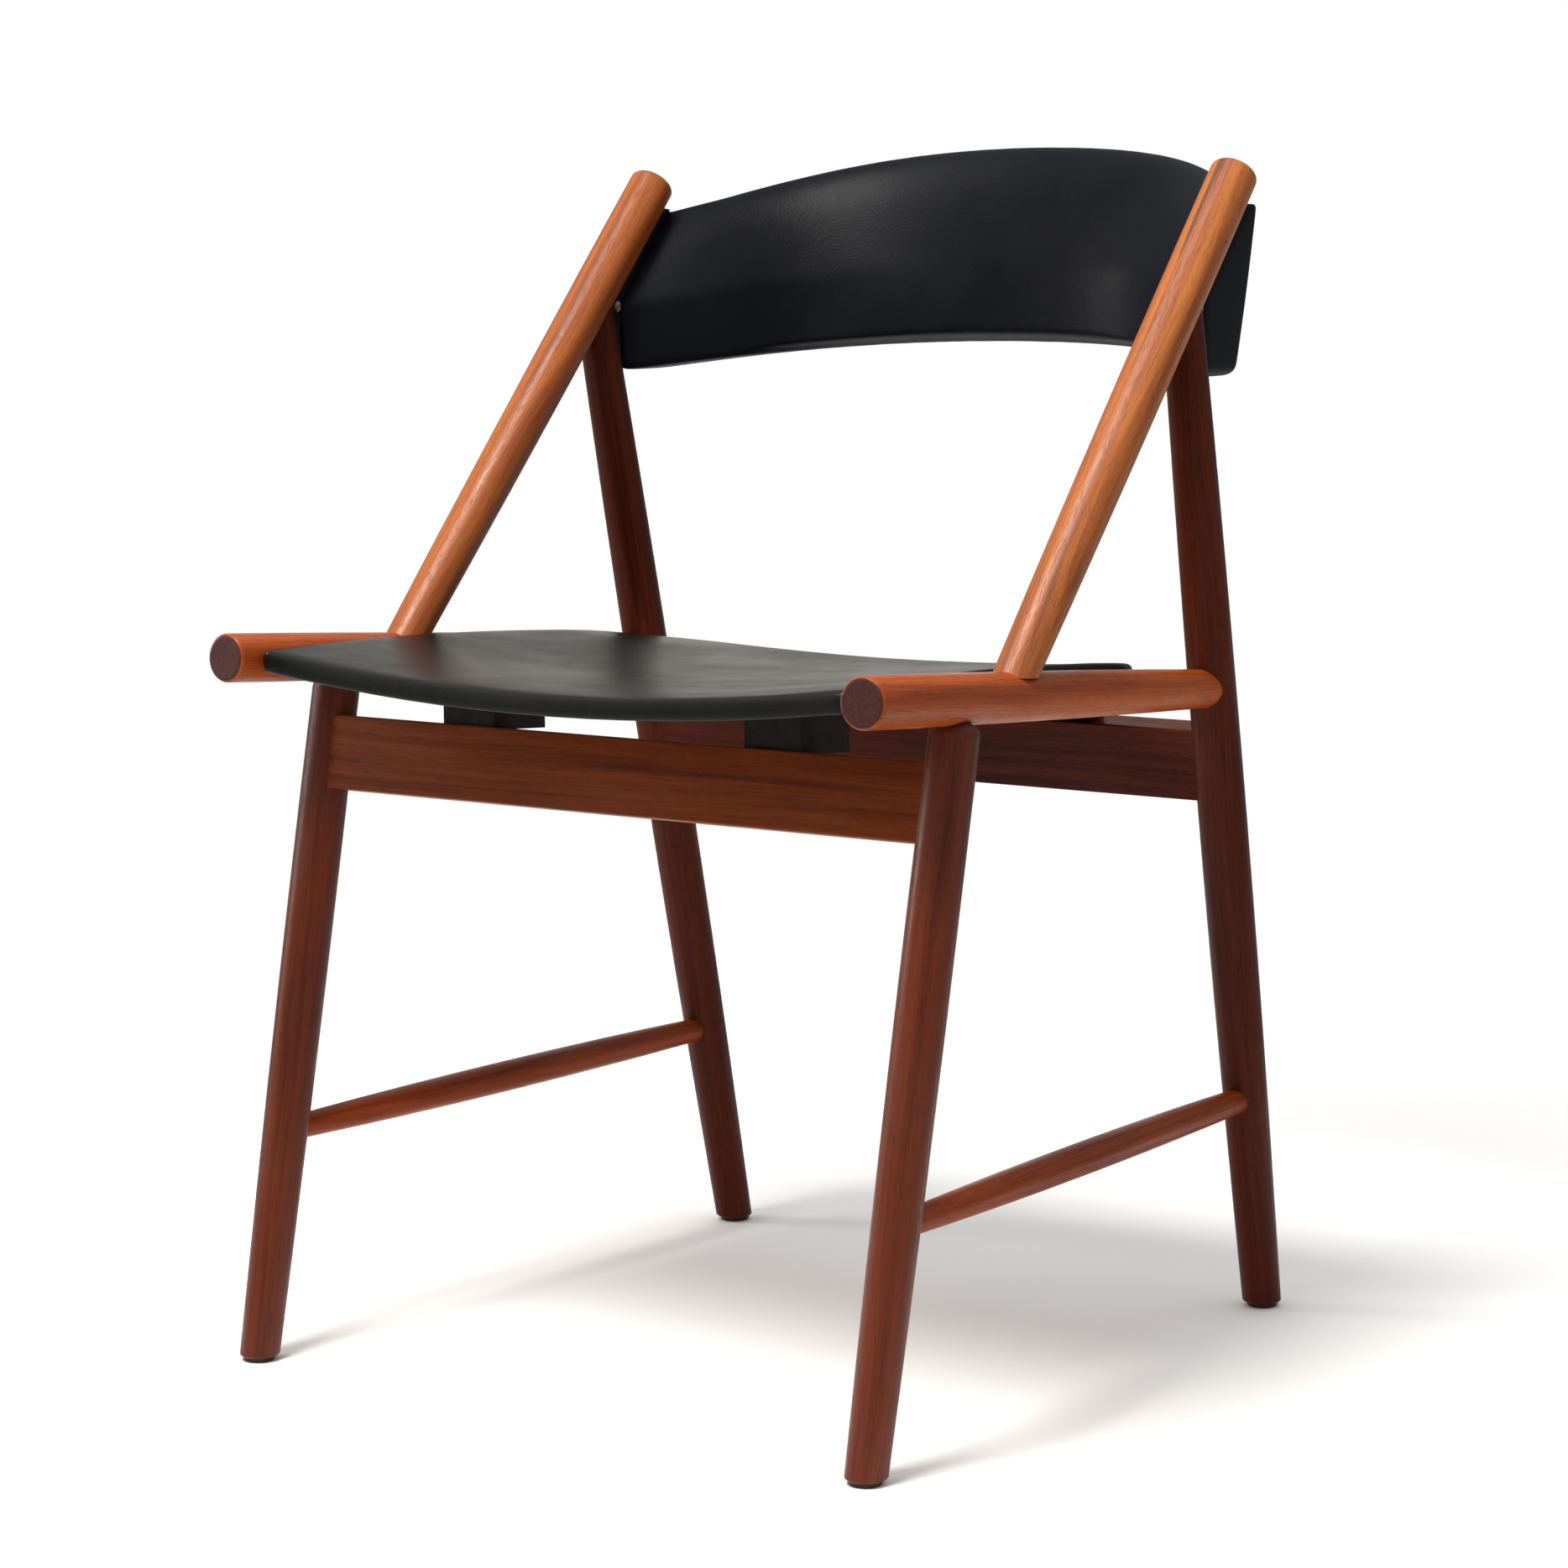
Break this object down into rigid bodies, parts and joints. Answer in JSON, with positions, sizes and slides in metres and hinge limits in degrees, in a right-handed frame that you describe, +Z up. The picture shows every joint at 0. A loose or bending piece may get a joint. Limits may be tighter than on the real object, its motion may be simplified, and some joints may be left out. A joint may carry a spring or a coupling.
{
  "type": "dining chair",
  "caption": "Dining chair with turned wooden side frames, slanting back posts, a thin scooped seat and a curved padded backrest.",
  "frame": {"origin": "on the floor, in the middle of the chair's box", "axes": "+Z up, front of the chair towards -Y, +X to the right as seen from in front"},
  "size_m": [0.546, 0.5832, 0.801],
  "materials": {
    "teak_light": "oiled",
    "teak_dark": "oiled",
    "beech": "plain",
    "plywood": "plain",
    "black_wood": "stained",
    "vinyl": "grained, satin",
    "foam": "open cell",
    "bronze": "antique",
    "steel": "zinc plated",
    "glide": "matt"
  },
  "bodies": {
    "root": {"back_post_left": "teak_light", "back_post_right": "teak_light", "side_rail_left": "teak_light", "side_rail_right": "teak_light", "front_leg_left": "teak_dark", "front_leg_right": "teak_dark", "rear_leg_left": "teak_dark", "rear_leg_right": "teak_dark", "side_stretcher_left": "teak_dark", "side_stretcher_right": "teak_dark", "front_apron": "teak_dark", "rear_apron": "teak_dark", "seat_board": "plywood", "seat_foam": "foam", "seat_cover": "vinyl", "seat_screws": "steel", "seat_block_front_left": "black_wood", "seat_block_front_right": "black_wood", "seat_block_rear_left": "black_wood", "seat_block_rear_right": "black_wood", "backrest_board": "plywood", "backrest_foam": "foam", "backrest_cover": "vinyl", "backrest_rear_cover": "vinyl", "backrest_flange_left": "vinyl", "backrest_flange_right": "vinyl", "backrest_bolts": "bronze", "backrest_pins": "bronze", "backrest_dowels": "beech", "front_leg_dowels": "beech", "rear_leg_dowels": "beech", "side_rail_dowels": "beech", "back_post_dowels": "beech", "stretcher_dowels": "beech", "front_apron_dowels": "beech", "rear_apron_dowels": "beech", "seat_block_dowels": "beech", "glide_nails": "steel", "front_glide_left": "glide", "front_glide_right": "glide", "rear_glide_left": "glide", "rear_glide_right": "glide"}
  },
  "joints": []
}
